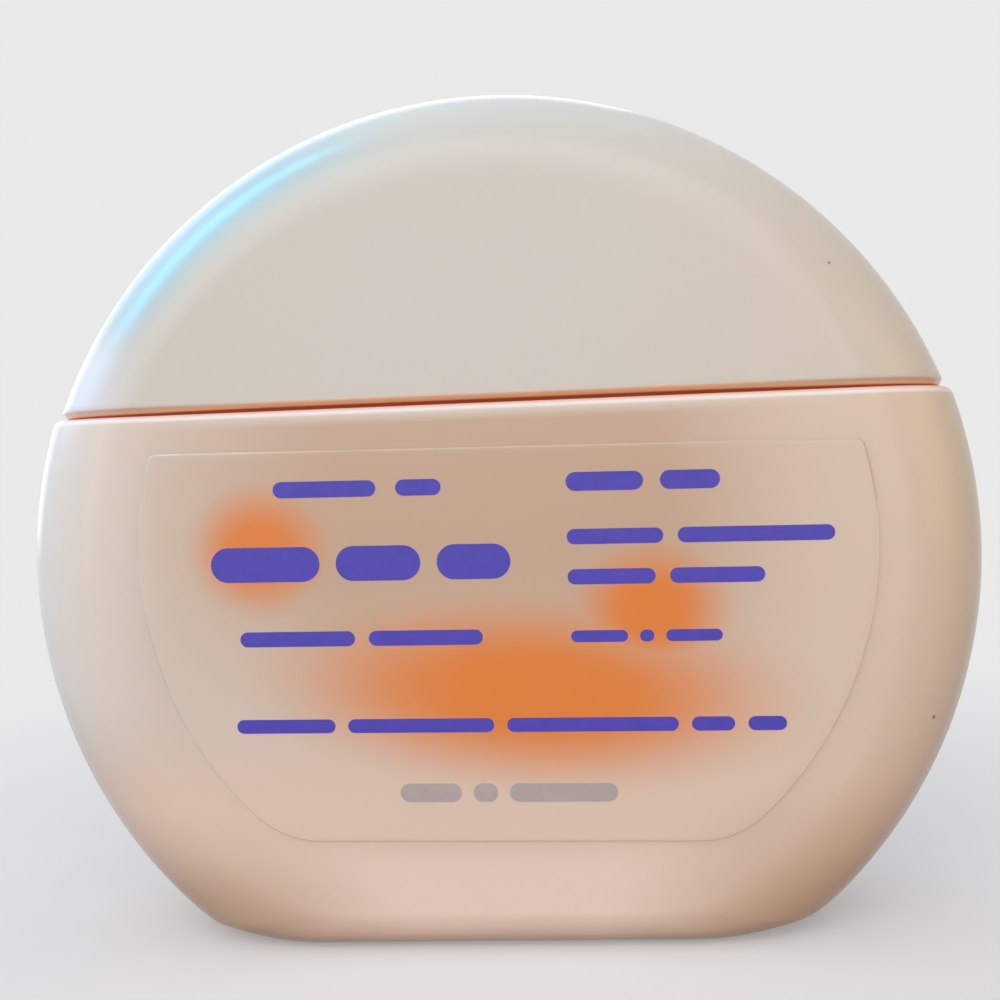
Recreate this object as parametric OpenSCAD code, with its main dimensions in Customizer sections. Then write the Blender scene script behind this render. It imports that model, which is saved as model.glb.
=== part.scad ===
// Flat round sunscreen bottle with a half-moon screw cap.
// Millimetres. The bottle stands on z = 0, its front faces -Y, and the neck axis is the Z axis.

/* [Bottle] */
// Width of the bottle across its round outline
body_w = 86; // [83:0.5:96]
// Thickness of the bottle from the front face to the back face
body_t = 20.4; // [20.2:0.1:24]
// Height of the centre of the round outline above the base
centre_z = 33.6; // [31:0.1:35]
// Height of the shoulder, the flat top of the bottle round its neck
shoulder_z = 47.4; // [45:0.1:50]
// How far the rounded side reaches in from the outline onto the front and back faces
edge_depth = 7; // [5:0.1:9]
// Width of the straight land along the middle of the rounded side
side_land = 1; // [0.4:0.1:3]
// How far the rounding of the base edge reaches up the front and back faces
base_edge_depth = 3; // [2:0.1:5]
// How far the rounding of the base edge reaches in under the bottle
base_edge_reach = 4.4; // [2:0.1:6]
// Width of the flat that the bottle stands on
base_flat_w = 34; // [32:0.5:35]
// Radius of the slow rise of the base from its flat towards the two corners
base_rise_r = 38; // [34:1:44]
// Radius of the corner where the round side turns into the base
base_corner_r = 8; // [5:0.5:9]
// Radius of the edge between the shoulder and the side
shoulder_edge_r = 1; // [0.4:0.1:1.4]
// Wall of the blown bottle
bottle_wall = 1; // [0.7:0.05:1.3]
// Length of the hollow pushed up into the base
pushup_l = 26; // [16:1:30]
// Width of the hollow pushed up into the base
pushup_w = 6; // [4:0.5:8]
// Depth of the hollow pushed up into the base
pushup_depth = 0.5; // [0.3:0.05:0.8]

/* [Neck] */
// Radius of the neck's outer wall under the thread
neck_r = 6.2; // [6:0.05:6.4]
// Radius of the neck's bore
neck_bore_r = 4.8; // [4.5:0.05:5]
// Height of the neck above the shoulder
neck_h = 10; // [9.5:0.1:11]
// Height of the collar at the foot of the neck
collar_h = 1.2; // [0.8:0.1:1.6]
// How far the collar stands out from the neck
collar_out = 0.6; // [0.4:0.05:0.8]

/* [Thread] */
// Rise of the cap in one full turn
thread_lead = 6; // [5.4:0.1:6.6]
// Number of thread starts; two let the cap close either way round
thread_starts = 2; // [2:1:2]
// Share of a full turn that each thread start covers
thread_turn_share = 0.75; // [0.6:0.05:0.8]
// How far the thread stands out from its wall
thread_depth = 0.9; // [0.7:0.05:1]
// Width of the thread at its wall
thread_root_w = 1.5; // [1.2:0.05:1.6]
// Width of the thread at its crest
thread_crest_w = 0.9; // [0.7:0.05:1]
// Radial clearance between a crest and the wall it faces
thread_clear = 0.25; // [0.2:0.05:0.35]
// Distance from the upper end of the neck's thread to the top of the neck
thread_top_gap = 0.6; // [0.4:0.1:1]

/* [Nozzle plug] */
// Thickness of the plug's top disc, which seats on the neck
plug_top_t = 1; // [0.8:0.1:1.4]
// Length of the plug's sleeve inside the neck
plug_sleeve_l = 6; // [4:0.5:7]
// Wall of the plug's sleeve
plug_wall = 0.8; // [0.6:0.05:1]
// Radius of the pouring hole
orifice_r = 1.2; // [0.7:0.05:1.5]
// Radius of the raised sealing ring round the pouring hole
lip_r = 2.2; // [2:0.1:3]
// Height of the raised sealing ring
lip_h = 0.5; // [0.3:0.05:0.8]
// Radial clearance of the plug in the neck
plug_fit = 0.03; // [0.01:0.01:0.05]

/* [Seal disc] */
// Radius of the foam seal disc
seal_r = 5.8; // [5.4:0.1:6]
// Thickness of the foam seal disc
seal_t = 1.2; // [0.8:0.1:1.6]
// Gap under and over the seal disc
seal_gap = 0.1; // [0.05:0.05:0.2]
// Gap round the seal disc in the sleeve's recess
seal_side_gap = 0.3; // [0.2:0.05:0.4]

/* [Cap] */
// Overall height of the closed bottle
total_h = 75.4; // [73:0.1:80]
// How far the cap's rim is set in from the bottle's round side
side_setback = 0.4; // [0.2:0.05:1]
// Height of the groove between the shoulder and the cap's rim
groove_h = 0.2; // [0.1:0.05:0.5]
// How far the cap's face is set back from the bottle's face
face_setback = 0.3; // [0.2:0.05:0.6]
// Size of the bevel along the cap's lower edge
cap_bevel = 0.6; // [0.3:0.05:0.9]
// Share of the bevel that is left where it runs round the sides
bevel_side_share = 0.15; // [0.1:0.05:1]
// Wall of the cap shell
cap_wall = 1.2; // [1:0.05:1.4]
// Thickness of the rib that ties the socket to the cap's faces and roof
rib_t = 1; // [0.8:0.1:1.4]
// Wall of the threaded sleeve outside its thread
sleeve_wall = 0.9; // [0.8:0.05:1]
// Thickness of the sleeve's closed top
sleeve_top_t = 1.2; // [1:0.1:1.8]
// Gap between the sleeve's lower end and the shoulder's collar
sleeve_foot_gap = 0.5; // [0.4:0.05:0.8]
// Radial clearance of the sleeve in the cap's socket
sleeve_fit = 0.05; // [0.02:0.01:0.08]
// Wall of the socket that holds the sleeve
socket_wall = 1.2; // [1:0.05:1.4]
// Width of the two keys that stop the sleeve turning in its socket
key_w = 2; // [1.4:0.1:2.6]
// How far the keys stand out from the sleeve
key_out = 0.5; // [0.3:0.05:0.6]

/* [Labels] */
// Radius of the round part of the label's outline
label_r = 31.5; // [28:0.5:33]
// Height of the centre of the label's outline above the base
label_centre_z = 34.9; // [33:0.1:36]
// Height of the label's lower edge above the base
label_low_z = 9.9; // [8:0.1:12]
// Height of the label's upper edge above the base
label_high_z = 43.6; // [41:0.1:45]
// Radius of the label's lower corners
label_low_corner_r = 8; // [4:0.5:10]
// Radius of the label's upper corners
label_high_corner_r = 0.8; // [0.4:0.1:2]
// Thickness of the label film
label_t = 0.1; // [0.06:0.01:0.15]
// How far the front label is stuck on to the right of the middle
label_shift = 0.7; // [0:0.1:1]
// How far the front label is turned clockwise, in degrees
label_turn = 0.8; // [0:0.1:1.5]

/* [Hidden] */

// Colours as the object shows them
bottle_colour = [0.86, 0.76, 0.68];
cap_colour = [0.85, 0.80, 0.74];
plug_colour = [0.93, 0.91, 0.88];
seal_colour = [0.96, 0.96, 0.95];
sleeve_colour = [0.90, 0.86, 0.80];
label_colour = [0.90, 0.80, 0.74];

// Steps of the curved surfaces
side_steps = 16;
corner_steps = 6;
rise_steps = 5;
dome_steps = 40;
edge_steps = 6;
round_steps = 3;
corner_point_steps = 8;
arc_point_steps = 24;
turn_steps = 24;
exact_fn = 64;

// One overrun serves every cut
overrun = 0.5;

body_r = body_w/2;
side_depth_t = (body_t - side_land)/2;

// How much of a row's inset the base's flat gives up at its ends, and how much of the change from the side's
// rounding to the base's is made round the corner
flat_inset_share = 0.6;
corner_blend_share = 0.5;

// The cap's outline is the arc through both ends of its rim and the top
rim_z = shoulder_z + groove_h;
rim_x = sqrt(pow(body_r, 2) - pow(rim_z - centre_z, 2)) - side_setback;
dome_h = total_h - rim_z;
dome_r = (pow(rim_x, 2) + pow(dome_h, 2))/(2*dome_h);
dome_z = total_h - dome_r;
cap_t = body_t - 2*face_setback;
cap_side_depth_t = (cap_t - side_land)/2;

neck_top_z = shoulder_z + neck_h;
plug_top_z = neck_top_z + plug_top_t;
seal_z = plug_top_z + lip_h + seal_gap;
sleeve_root_r = neck_r + thread_depth + thread_clear;
sleeve_r = sleeve_root_r + sleeve_wall;
sleeve_low_z = shoulder_z + collar_h + sleeve_foot_gap;
recess_z = plug_top_z + seal_side_gap;
recess_r = seal_r + seal_side_gap;
sleeve_roof_z = seal_z + seal_t + seal_gap;
sleeve_top_z = sleeve_roof_z + sleeve_top_t;
socket_bore_r = sleeve_r + sleeve_fit;
socket_r = socket_bore_r + socket_wall;
socket_low_z = sleeve_low_z;

// The neck's thread ends near the top of the neck, and the sleeve's runs half a pitch below it
thread_pitch = thread_lead/thread_starts;
thread_rise = thread_lead*thread_turn_share;
neck_thread_z = neck_top_z - thread_top_gap - thread_root_w - thread_rise;
sleeve_thread_z = neck_thread_z - thread_pitch/2;
thread_fade_share = 0.15;
thread_end_share = 0.2;

// Rows of the rounded side, from the front face over the side to the back face: [side, angle]
edge_rows = [for (side = [-1, 1], i = [0:edge_steps]) [side, 45*(side - 1) + 90*i/edge_steps]];
edge_row_count = len(edge_rows);

function mix(a, b, share) = a + (b - a)*share;
function smooth(share) = share*share*(3 - 2*share);

// Place of a row: how far in from the outline, and its y; reach is the rounding's size along Y
function row_in(row, depth) = depth*(1 - cos(row[1]));
function row_y(row, t, reach) = row[0]*(t/2 - reach) + reach*sin(row[1]);

// Unit direction in the XZ plane, with the angle counted from +Z towards +X
function ray(angle) = [sin(angle), cos(angle)];

// Angle at which an arc of radius r about height z0 meets the height z
function cut_angle(r, z0, z) = acos((z - z0)/r);

// The bottle's outline at one row, inset by skin: a big circle for the side, a circle for the base's rise and
// between them the corner's circle, which touches both from inside; centres are [x, z]
function row_side_r(row, skin) = body_r - skin - row_in(row, edge_depth - skin);

function rise_centre(row, skin) =
    [base_flat_w/2 - flat_inset_share*row_in(row, edge_depth - skin),
     base_rise_r + row_in(row, base_edge_depth - skin)];

function corner_centre(row, skin) =
    let (side = row_side_r(row, skin) - (base_corner_r - skin),
         rise = base_rise_r - base_corner_r,
         gap = rise_centre(row, skin) - [0, centre_z],
         u = gap/norm(gap),
         along = (pow(side, 2) - pow(rise, 2) + pow(norm(gap), 2))/(2*norm(gap)),
         off = sqrt(pow(side, 2) - pow(along, 2)))
    [along*u[0] + off*u[1], centre_z + along*u[1] - off*u[0]];

// Angle of a direction in the XZ plane, counted as for a ray
function angle_of(v) = atan2(v[0], v[1]);

// Below the side, the rounding's reach along Y shrinks to the base edge's
function low_y(row, share, skin) =
    row_y(row, body_t - 2*skin, mix(side_depth_t, base_edge_reach, smooth(share)) - skin);

// One point of the bottle's skin on the right half: down the side, then round the corner and along the rise
function side_point(row, share, skin, top_z) =
    let (r = row_side_r(row, skin),
         to = angle_of(corner_centre(row, skin) - [0, centre_z]),
         p = r*ray(mix(cut_angle(r, centre_z, top_z), to, share)))
    [p[0], row_y(row, body_t - 2*skin, side_depth_t - skin), centre_z + p[1]];

function corner_point(row, share, skin) =
    let (corner = corner_centre(row, skin),
         from = angle_of(corner - [0, centre_z]),
         to = angle_of(corner - rise_centre(row, skin)),
         p = corner + (base_corner_r - skin)*ray(mix(from, to, share)))
    [p[0], low_y(row, corner_blend_share*share, skin), p[1]];

function rise_point(row, share, skin) =
    let (rise = rise_centre(row, skin),
         from = angle_of(corner_centre(row, skin) - rise),
         p = rise + (base_rise_r - skin)*ray(mix(from, 180, share)))
    [p[0], low_y(row, mix(corner_blend_share, 1, share), skin), p[1]];

function bottle_half(skin, top_z) = concat(
    [for (i = [0:side_steps]) [for (row = edge_rows) side_point(row, i/side_steps, skin, top_z)]],
    [for (i = [1:corner_steps]) [for (row = edge_rows) corner_point(row, i/corner_steps, skin)]],
    [for (i = [1:rise_steps]) [for (row = edge_rows) rise_point(row, i/rise_steps, skin)]]);

function mirrored(columns) =
    [for (i = [len(columns) - 1:-1:0]) [for (p = columns[i]) [-p[0], p[1], p[2]]]];

function bottle_columns(skin, top_z) =
    let (half = bottle_half(skin, top_z)) concat(half, mirrored(half));

// Columns of the cap's skin, from the right end of the rim over the dome to its left end
function dome_point(row, share, skin, low_z) =
    let (r = dome_r - skin - row_in(row, edge_depth - skin),
         p = r*ray(cut_angle(r, dome_z, low_z)*(1 - 2*share)))
    [p[0], row_y(row, cap_t - 2*skin, cap_side_depth_t - skin), dome_z + p[1]];

function dome_columns(skin, low_z) =
    [for (i = [0:dome_steps]) [for (row = edge_rows) dome_point(row, i/dome_steps, skin, low_z)]];

// Outline of the flat cut: up the first column and back down the last one
function cut_loop(columns) =
    let (last = columns[len(columns) - 1]) concat(columns[0], [for (i = [len(last) - 1:-1:0]) last[i]]);

// A loop drawn in square to its own run in the XY plane, less round the sides, and raised by dz
function drawn_in(loop, distance, dz, side_share) =
    let (n = len(loop))
    [for (i = [0:n - 1])
        let (before = loop[(i + n - 1) % n],
             after = loop[(i + 1) % n],
             run = [after[0] - before[0], after[1] - before[1]],
             row = i % edge_row_count,
             on_face = row == 0 || row == edge_row_count - 1,
             inward = on_face ? [0, -sign(loop[i][1])] : [-run[1], run[0]]/norm(run),
             move = distance*mix(side_share, 1, abs(sin(edge_rows[row][1]))))
        [loop[i][0] + move*inward[0], loop[i][1] + move*inward[1], loop[i][2] + dz]];

// A face seen from its other side
function turned(face) = [for (i = [len(face) - 1:-1:0]) face[i]];

// A closed solid from columns of the skin and the loops that close its flat cut
module pebble(columns, loops, cut_on_top) {
    cols = len(columns);
    rows = edge_row_count;
    n = 2*rows;
    points = concat([for (c = columns) each c], [for (l = loops) each l]);
    function at(c, r) = c*rows + r;
    function ring(k, i) =
        k > 0 ? cols*rows + (k - 1)*n + i % n
        : i % n < rows ? at(0, i % n)
        : at(cols - 1, n - 1 - i % n);
    skin = [for (c = [0:cols - 2], r = [0:rows - 2])
        [at(c, r), at(c + 1, r), at(c + 1, r + 1), at(c, r + 1)]];
    front = [for (c = [cols - 1:-1:0]) at(c, 0)];
    back = [for (c = [0:cols - 1]) at(c, rows - 1)];
    steps = [for (k = [0:1:len(loops) - 1], i = [0:n - 1])
        [ring(k, i), ring(k, i + 1), ring(k + 1, i + 1), ring(k + 1, i)]];
    lid = [for (i = [0:n - 1]) ring(len(loops), i)];
    faces = concat(skin, [front, back, lid], steps);
    polyhedron(points, cut_on_top ? [for (f = faces) turned(f)] : faces, convexity = 6);
}

module bottle_outside() {
    columns = bottle_columns(0, shoulder_z - shoulder_edge_r);
    loop = cut_loop(columns);
    loops = [for (k = [1:round_steps]) let (a = 90*k/round_steps)
        drawn_in(loop, shoulder_edge_r*(1 - cos(a)), shoulder_edge_r*sin(a), 1)];
    pebble(columns, loops, true);
}

module bottle_inside() {
    pebble(bottle_columns(bottle_wall, shoulder_z - bottle_wall), [], true);
}

module cap_outside() {
    columns = dome_columns(0, rim_z + cap_bevel);
    pebble(columns, [drawn_in(cut_loop(columns), cap_bevel, -cap_bevel, bevel_side_share)], false);
}

module cap_inside() {
    pebble(dome_columns(cap_wall, rim_z - overrun), [], false);
}

// One thread start: a trapezoid swept up a right-handed helix, whose ends fade into the wall
module thread_start(wall_r, crest_r, low_z, first_angle) {
    count = round(turn_steps*thread_turn_share);
    foot_r = wall_r + sign(wall_r - crest_r)*thread_clear;
    corners = 4;
    function height_share(share) =
        mix(thread_end_share, 1, smooth(min(1, share/thread_fade_share, (1 - share)/thread_fade_share)));
    function section(tip_r) =
        [[foot_r, -thread_root_w/2], [foot_r, thread_root_w/2],
         [tip_r, thread_crest_w/2], [tip_r, -thread_crest_w/2]];
    points = [for (i = [0:count])
        let (share = i/count,
             angle = first_angle + 360*thread_turn_share*share,
             z = low_z + thread_root_w/2 + thread_rise*share)
        for (p = section(mix(wall_r, crest_r, height_share(share))))
            [p[0]*cos(angle), p[0]*sin(angle), z + p[1]]];
    sides = [for (i = [0:count - 1], j = [0:corners - 1])
        let (k = corners*i, next = (j + 1) % corners)
        [k + j, k + next, k + corners + next, k + corners + j]];
    first = [for (j = [corners - 1:-1:0]) j];
    last = [for (j = [0:corners - 1]) corners*count + j];
    faces = concat(sides, [first, last]);
    polyhedron(points, wall_r < crest_r ? [for (f = faces) turned(f)] : faces, convexity = 4);
}

module bottle() {
    color(bottle_colour)
    difference() {
        union() {
            bottle_outside();
            translate([0, 0, shoulder_z - bottle_wall])
                cylinder(h = bottle_wall + neck_h, r = neck_r, $fn = exact_fn);
            translate([0, 0, shoulder_z - bottle_wall])
                cylinder(h = bottle_wall + collar_h, r = neck_r + collar_out, $fn = exact_fn);
            for (i = [0:thread_starts - 1])
                thread_start(neck_r, neck_r + thread_depth, neck_thread_z, 360*i/thread_starts);
        }
        bottle_inside();
        translate([0, 0, shoulder_z - bottle_wall - overrun])
            cylinder(h = bottle_wall + neck_h + 2*overrun, r = neck_bore_r, $fn = exact_fn);
        translate([0, 0, -overrun])
            pushup();
    }
}

// The long round-ended hollow in the base
module pushup() {
    half = (pushup_l - pushup_w)/2;
    translate([-half, -pushup_w/2, 0])
        cube([2*half, pushup_w, pushup_depth + overrun]);
    for (x = [-half, half])
        translate([x, 0, 0])
            cylinder(h = pushup_depth + overrun, r = pushup_w/2, $fn = exact_fn);
}

module nozzle_plug() {
    plug_r = neck_bore_r - plug_fit;
    color(plug_colour)
    difference() {
        union() {
            translate([0, 0, neck_top_z])
                cylinder(h = plug_top_t, r = neck_r, $fn = exact_fn);
            translate([0, 0, neck_top_z])
                cylinder(h = plug_top_t + lip_h, r = lip_r, $fn = exact_fn);
            translate([0, 0, neck_top_z - plug_sleeve_l])
                cylinder(h = plug_sleeve_l + plug_top_t, r = plug_r, $fn = exact_fn);
        }
        translate([0, 0, neck_top_z - plug_sleeve_l - overrun])
            cylinder(h = plug_sleeve_l + overrun, r = plug_r - plug_wall, $fn = exact_fn);
        translate([0, 0, neck_top_z - overrun])
            cylinder(h = plug_top_t + lip_h + 2*overrun, r = orifice_r, $fn = exact_fn);
    }
}

module seal_disc() {
    color(seal_colour)
    translate([0, 0, seal_z])
        cylinder(h = seal_t, r = seal_r, $fn = exact_fn);
}

// The two keys on the sleeve, or their slots when grow is the fit
module keys(low_z, high_z, grow) {
    reach = sleeve_r + key_out + grow;
    translate([-reach, -key_w/2 - grow, low_z])
        cube([2*reach, key_w + 2*grow, high_z - low_z]);
}

module cap_sleeve() {
    color(sleeve_colour)
    union() {
        difference() {
            union() {
                translate([0, 0, sleeve_low_z])
                    cylinder(h = sleeve_top_z - sleeve_low_z, r = sleeve_r, $fn = exact_fn);
                keys(sleeve_low_z, sleeve_top_z, 0);
            }
            translate([0, 0, sleeve_low_z - overrun])
                cylinder(h = recess_z - sleeve_low_z + overrun, r = sleeve_root_r, $fn = exact_fn);
            translate([0, 0, sleeve_low_z - overrun])
                cylinder(h = sleeve_roof_z - sleeve_low_z + overrun, r = recess_r, $fn = exact_fn);
        }
        for (i = [0:thread_starts - 1])
            thread_start(sleeve_root_r, neck_r + thread_clear, sleeve_thread_z, 360*i/thread_starts);
    }
}

// A plate across the hollow cap, from the socket's roof to the cap's faces and top
module rib() {
    translate([-rib_t/2, -cap_t/2, sleeve_top_z])
        cube([rib_t, cap_t, total_h - sleeve_top_z]);
}

module cap_shell() {
    color(cap_colour)
    difference() {
        union() {
            difference() {
                cap_outside();
                difference() {
                    cap_inside();
                    rib();
                }
            }
            translate([0, 0, socket_low_z])
                cylinder(h = sleeve_top_z + cap_wall - socket_low_z, r = socket_r, $fn = exact_fn);
        }
        translate([0, 0, socket_low_z - overrun])
            cylinder(h = sleeve_top_z - socket_low_z + overrun, r = socket_bore_r, $fn = exact_fn);
        keys(socket_low_z - overrun, sleeve_top_z, sleeve_fit);
    }
}

// Half the label's outline, from the top right corner down to the lower right one
function label_corner(r, z, turn) =
    let (inner = label_r - r,
         cz = z + (turn > 0 ? -r : r),
         cx = sqrt(pow(inner, 2) - pow(cz - label_centre_z, 2)),
         side = atan2(cz - label_centre_z, cx),
         from = turn > 0 ? 90 : side,
         to = turn > 0 ? side : -90)
    [for (i = [0:corner_point_steps])
        let (a = mix(from, to, i/corner_point_steps)) [cx + r*cos(a), cz + r*sin(a)]];

function label_side() =
    let (top = label_corner(label_high_corner_r, label_high_z, 1),
         bottom = label_corner(label_low_corner_r, label_low_z, -1),
         a = atan2(top[corner_point_steps][1] - label_centre_z, top[corner_point_steps][0]),
         b = atan2(bottom[0][1] - label_centre_z, bottom[0][0]))
    concat(top,
        [for (i = [1:arc_point_steps - 1])
            let (t = mix(a, b, i/arc_point_steps)) [label_r*cos(t), label_centre_z + label_r*sin(t)]],
        bottom);

module label(back_y, shift, turn) {
    right = label_side();
    left = [for (i = [len(right) - 1:-1:0]) [-right[i][0], right[i][1]]];
    middle_z = (label_low_z + label_high_z)/2;
    color(label_colour)
    translate([shift, back_y, middle_z])
        rotate([0, turn, 0])
            translate([0, 0, -middle_z])
                rotate([90, 0, 0])
                    linear_extrude(height = label_t)
                        polygon(concat(right, left));
}

module front_label() {
    label(-body_t/2, label_shift, label_turn);
}

module back_label() {
    label(body_t/2 + label_t, 0, 0);
}

bottle();
nozzle_plug();
seal_disc();
cap_sleeve();
cap_shell();
front_label();
back_label();
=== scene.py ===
"""Looks of the flat round sunscreen bottle with a half-moon screw cap, in the CAD frame.

Shapes and places on the bottle are given in millimetres, and lamps in metres.
"""
import math

import bmesh
import bpy
import numpy as np
from mathutils import Matrix, Vector


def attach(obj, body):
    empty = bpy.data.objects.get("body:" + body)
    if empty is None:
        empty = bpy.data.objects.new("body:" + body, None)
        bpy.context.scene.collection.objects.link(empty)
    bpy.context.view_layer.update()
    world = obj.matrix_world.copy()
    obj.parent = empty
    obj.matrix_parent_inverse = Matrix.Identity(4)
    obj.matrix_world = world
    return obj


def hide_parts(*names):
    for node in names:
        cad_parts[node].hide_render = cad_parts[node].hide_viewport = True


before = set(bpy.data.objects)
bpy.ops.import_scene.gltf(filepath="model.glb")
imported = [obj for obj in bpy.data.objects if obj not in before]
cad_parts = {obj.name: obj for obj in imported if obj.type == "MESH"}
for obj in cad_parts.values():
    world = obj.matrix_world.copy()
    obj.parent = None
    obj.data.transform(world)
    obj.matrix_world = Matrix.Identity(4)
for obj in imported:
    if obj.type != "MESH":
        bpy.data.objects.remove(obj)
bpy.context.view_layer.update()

MM = 0.001

# Sizes of the bottle, the same as the CAD source's
BODY_R, BODY_T, CENTRE_Z, SHOULDER_Z = 42.98, 20.4, 33.6, 47.4
EDGE_DEPTH, SIDE_LAND = 7.0, 1.0
BASE_DEPTH, BASE_REACH, BASE_FLAT_W, BASE_RISE_R, BASE_CORNER_R = 3.0, 4.4, 34.0, 38.0, 8.0
FLAT_INSET_SHARE, CORNER_BLEND_SHARE = 0.6, 0.5
PUSHUP_L, PUSHUP_W, PUSHUP_DEPTH = 26.0, 6.0, 0.5
NECK_R, NECK_BORE_R, NECK_H, COLLAR_H, COLLAR_OUT = 6.2, 4.8, 10.0, 1.2, 0.6
THREAD_LEAD, THREAD_STARTS, THREAD_TURNS, THREAD_DEPTH = 6.0, 2, 0.75, 0.9
THREAD_ROOT_W, THREAD_CREST_W, THREAD_CLEAR, THREAD_TOP_GAP = 1.5, 0.9, 0.25, 0.6
THREAD_FADE_SHARE, THREAD_END_SHARE = 0.15, 0.2
PLUG_TOP_T, PLUG_SLEEVE_L, PLUG_WALL, PLUG_FIT = 1.0, 6.0, 0.8, 0.03
ORIFICE_R, LIP_R, LIP_H = 1.2, 2.2, 0.5
SEAL_R, SEAL_T, SEAL_GAP = 5.8, 1.2, 0.1
TOTAL_H, SIDE_SETBACK, GROOVE_H, FACE_SETBACK, CAP_WALL = 75.4, 0.4, 0.2, 0.3, 1.2
CAP_BEVEL, BEVEL_SIDE_SHARE = 0.6, 0.15
SLEEVE_WALL, SLEEVE_TOP_T, SLEEVE_FOOT_GAP, SLEEVE_FIT = 0.9, 1.2, 0.5, 0.05
SOCKET_WALL, RIB_T = 1.2, 1.0
LABEL_R, LABEL_CENTRE_Z, LABEL_LOW_Z, LABEL_HIGH_Z = 31.5, 34.9, 9.9, 43.6
LABEL_LOW_CORNER_R, LABEL_HIGH_CORNER_R, LABEL_T = 8.0, 0.8, 0.1
LABEL_SHIFT, LABEL_TURN = 0.7, 0.8

NECK_TOP_Z = SHOULDER_Z + NECK_H
SEAL_Z = NECK_TOP_Z + PLUG_TOP_T + LIP_H + SEAL_GAP
RIM_Z = SHOULDER_Z + GROOVE_H
RIM_X = math.sqrt(BODY_R**2 - (RIM_Z - CENTRE_Z)**2) - SIDE_SETBACK
DOME_H = TOTAL_H - RIM_Z
DOME_R = (RIM_X**2 + DOME_H**2)/(2*DOME_H)
DOME_Z = TOTAL_H - DOME_R
CAP_T = BODY_T - 2*FACE_SETBACK
SLEEVE_R = NECK_R + THREAD_DEPTH + THREAD_CLEAR + SLEEVE_WALL
SLEEVE_TOP_Z = SEAL_Z + SEAL_T + SEAL_GAP + SLEEVE_TOP_T
SOCKET_LOW_Z = SHOULDER_Z + COLLAR_H + SLEEVE_FOOT_GAP
SOCKET_BORE_R = SLEEVE_R + SLEEVE_FIT
SOCKET_R = SOCKET_BORE_R + SOCKET_WALL
LABEL_MIDDLE_Z = (LABEL_LOW_Z + LABEL_HIGH_Z)/2
FACE = BODY_T/2

# Finer forms than the CAD source's: the shoulder's edge has one radius on the faces and another at its ends
SHOULDER_EDGE_R, SHOULDER_END_R = 0.5, 1.1
# The top's inner ring lies a share of the way out along X and Y
SHOULDER_TOP_SHARES = (0.985, 0.96, 1)
# The hollow's rings: shares of its length and width, and the height
PUSHUP_RINGS = ((1, 1, 0), (0.997, 0.98, 0.08), (0.985, 0.93, PUSHUP_DEPTH - 0.1), (0.96, 0.85, PUSHUP_DEPTH))
# The collar's foot: out from the collar, and up from the shoulder
COLLAR_FOOT = ((0.35, -0.3), (0.05, 0.12), (0.0, 0.4))
# The thread starts inside the wall, and its flank bends near the crest
THREAD_SUNK, THREAD_FLANK_SHARE, THREAD_FLANK_OUT, THREAD_CREST_ROUND = 0.2, 0.18, 0.06, 0.12
PLUG_LEAD_IN, PLUG_LEAD_IN_L, LIP_SLOPE = 0.15, 0.6, 0.25
# The bevel's rings: in from the cap's side, and down
BEVEL_RINGS = ((0.02, 0.08), (0.08, 0.15), (0.46, 0.50), (0.56, 0.60), (0.62, 0.66), (0.66, 0.74))
# The rib reaches into a share of the cap's wall, and starts a little over the sleeve's top
RIB_SINK_SHARE, RIB_FOOT = 0.6, 0.4
NECK_ROUND, PLUG_ROUND, SEAL_ROUND, SOCKET_ROUND = 0.18, 0.16, 0.12, 0.2
# Lathe rings of this radius stand in for a point on the axis
SMALL_R = 0.02
# The ring round a flat face lies this share of the way to its middle
FACE_RING_SHARE = 0.012
# The rounding's last stretch runs out softly onto the flat face
SOFT_RUNOUT, SOFT_POWER = 0.2, 12
# The film's edge: in from the outline, and share of the film's thickness
FILM_EDGE = ((0, 0.55), (0.05, 0.9), (0.12, 1.0), (0.5, 1.0))
FILM_EDGE_RINGS, FILM_SUNK, INK_T = 3, 0.02, 0.012

SIDE_STEPS, CORNER_STEPS, FLAT_STEPS, EDGE_STEPS = 90, 24, 6, 20
SHOULDER_STEPS, PUSHUP_STEPS, DOME_STEPS, RIB_STEPS, ROUND_STEPS = 8, 96, 180, 14, 3
THREAD_STEPS, TURN_STEPS, LABEL_STEPS, LABEL_CORNER_STEPS, PILL_STEPS = 72, 96, 72, 16, 8
# A corner's rounding takes no more than this share of either side, and a skin leans no further than this sine
MAX_ROUND_SHARE, MAX_LEAN = 0.4, 0.9
# Heights up to this count as on the base, and no division goes by less than the other
ON_BASE, TINY = 1e-6, 1e-9

# Rows of the rounded side, from the front face over the side to the back face: side and angle
ROWS = [(side, math.radians(45*(side - 1) + 90*i/EDGE_STEPS))
        for side in (-1, 1) for i in range(EDGE_STEPS + 1)]
NROWS = len(ROWS)
SIDE = np.array([row[0] for row in ROWS], float)
SIN = np.array([math.sin(row[1]) for row in ROWS])
COS = np.array([math.cos(row[1]) for row in ROWS])
# Share of the edge's depth at each row
INSET = 1 - COS + SOFT_RUNOUT*np.abs(SIN)**SOFT_POWER


# Mesh building

class Shape:
    """Points and faces of one piece; each face carries a material number."""

    def __init__(self):
        self.points, self.faces, self.slots = [], [], []

    def add(self, points):
        first = len(self.points)
        self.points += [tuple(float(c) for c in p) for p in points]
        return list(range(first, len(self.points)))

    def face(self, ids, slot=0):
        self.faces.append(list(ids))
        self.slots.append(slot)

    def strip(self, a, b, closed=True, slot=0):
        n = len(a)
        for i in range(n if closed else n - 1):
            j = (i + 1) % n
            self.face([a[i], a[j], b[j], b[i]], slot)

    def strips(self, rings):
        for a, b in zip(rings, rings[1:]):
            self.strip(a, b)


def link(name, data):
    obj = bpy.data.objects.new(name, data)
    bpy.context.scene.collection.objects.link(obj)
    return obj


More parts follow.
